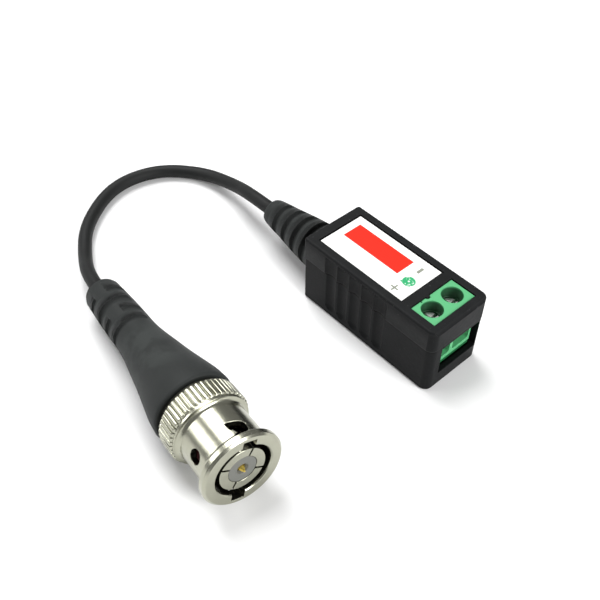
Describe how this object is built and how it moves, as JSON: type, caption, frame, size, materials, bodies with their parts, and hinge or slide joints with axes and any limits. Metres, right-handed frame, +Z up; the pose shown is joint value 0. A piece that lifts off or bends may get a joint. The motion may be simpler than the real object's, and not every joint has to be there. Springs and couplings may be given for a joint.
{
  "type": "cctv video balun",
  "caption": "Passive video balun: plastic housing with a two-pole screw terminal block, joined by a short coaxial cable to a bayonet plug.",
  "frame": {"origin": "centre of the housing's underside", "axes": "+X along the housing towards the terminal block's wire entries, +Y towards the minus pole, +Z up through the label"},
  "size_m": [0.0842, 0.0575, 0.0155],
  "materials": {
    "housing_plastic": "moulded, fine satin texture",
    "label_face": "printed adhesive label, smooth, with a red panel and two plain polarity signs",
    "dot_ink": "round sticker, smooth",
    "board": "glass-fibre board with solder mask",
    "ferrite": "pressed and sintered, satin",
    "winding_wire": "enamelled copper wire",
    "terminal_green": "moulded, satin",
    "screw_steel": "zinc plated",
    "cage_brass": "tin plated brass",
    "pin_copper": "tin plated strip",
    "boot_pvc": "moulded soft PVC, satin",
    "cable_pvc": "extruded soft PVC jacket, satin",
    "core_copper": "tinned copper strand",
    "nickel": "nickel plated, bright",
    "gold": "gold plated, bright",
    "insulator_white": "machined insulator, satin",
    "gasket_rubber": "moulded silicone, satin",
    "spring_steel": "spring steel, oiled"
  },
  "bodies": {
    "balun": {"housing_base": "housing_plastic", "housing_cover": "housing_plastic", "label": "label_face", "inspection_dot": "dot_ink", "circuit_board": "board", "transformer_core": "ferrite", "primary_winding": "winding_wire", "secondary_winding": "winding_wire", "terminal_block": "terminal_green", "terminal_pin_plus": "pin_copper", "terminal_pin_minus": "pin_copper", "housing_boot": "boot_pvc", "cable": "cable_pvc", "cable_housing_end": "cable_pvc", "cable_plug_end": "cable_pvc", "signal_wire": "core_copper", "shield_wire": "core_copper", "plug_boot": "boot_pvc", "plug_body": "nickel", "plug_insulator": "insulator_white", "centre_pin": "gold", "front_gasket": "gasket_rubber", "spring_washer": "spring_steel", "retaining_ring": "spring_steel", "crimp_sleeve": "nickel"},
    "plus_screw": {"terminal_screw_plus": "screw_steel"},
    "minus_screw": {"terminal_screw_minus": "screw_steel"},
    "plus_cage": {"clamp_cage_plus": "cage_brass"},
    "minus_cage": {"clamp_cage_minus": "cage_brass"},
    "thrust_ring": {"thrust_washer": "nickel"},
    "coupling": {"coupling_sleeve": "nickel"}
  },
  "joints": [
    {"name": "plus_screw_turn", "type": "hinge", "parent": "balun", "child": "plus_screw", "pos_m": [0.0113, -0.00254, 0.0106], "axis": [0, 0, -1], "range_deg": [0, 1040]},
    {"name": "plus_cage_lift", "type": "slide", "parent": "balun", "child": "plus_cage", "axis": [0, 0, 1], "range_m": [0, 0.0013]},
    {"name": "minus_screw_turn", "type": "hinge", "parent": "balun", "child": "minus_screw", "pos_m": [0.0113, 0.00254, 0.0106], "axis": [0, 0, -1], "range_deg": [0, 1040]},
    {"name": "minus_cage_lift", "type": "slide", "parent": "balun", "child": "minus_cage", "axis": [0, 0, 1], "range_m": [0, 0.0013]},
    {"name": "sleeve_pull", "type": "slide", "parent": "balun", "child": "thrust_ring", "axis": [0.9905, -0.1129, 0.0785], "range_m": [0, 0.00045], "stiffness_N_per_m": 1500, "springref_m": -0.0002, "deforming": ["spring_washer"]},
    {"name": "sleeve_turn", "type": "hinge", "parent": "thrust_ring", "child": "coupling", "pos_m": [0.00202, -0.04242, 0.00771], "axis": [0.9905, -0.1129, 0.0785], "continuous": true}
  ],
  "couplings": [
    {"joint": "plus_screw_turn", "follows": "plus_cage_lift", "rad_per_m": 13963},
    {"joint": "minus_screw_turn", "follows": "minus_cage_lift", "rad_per_m": 13963}
  ]
}
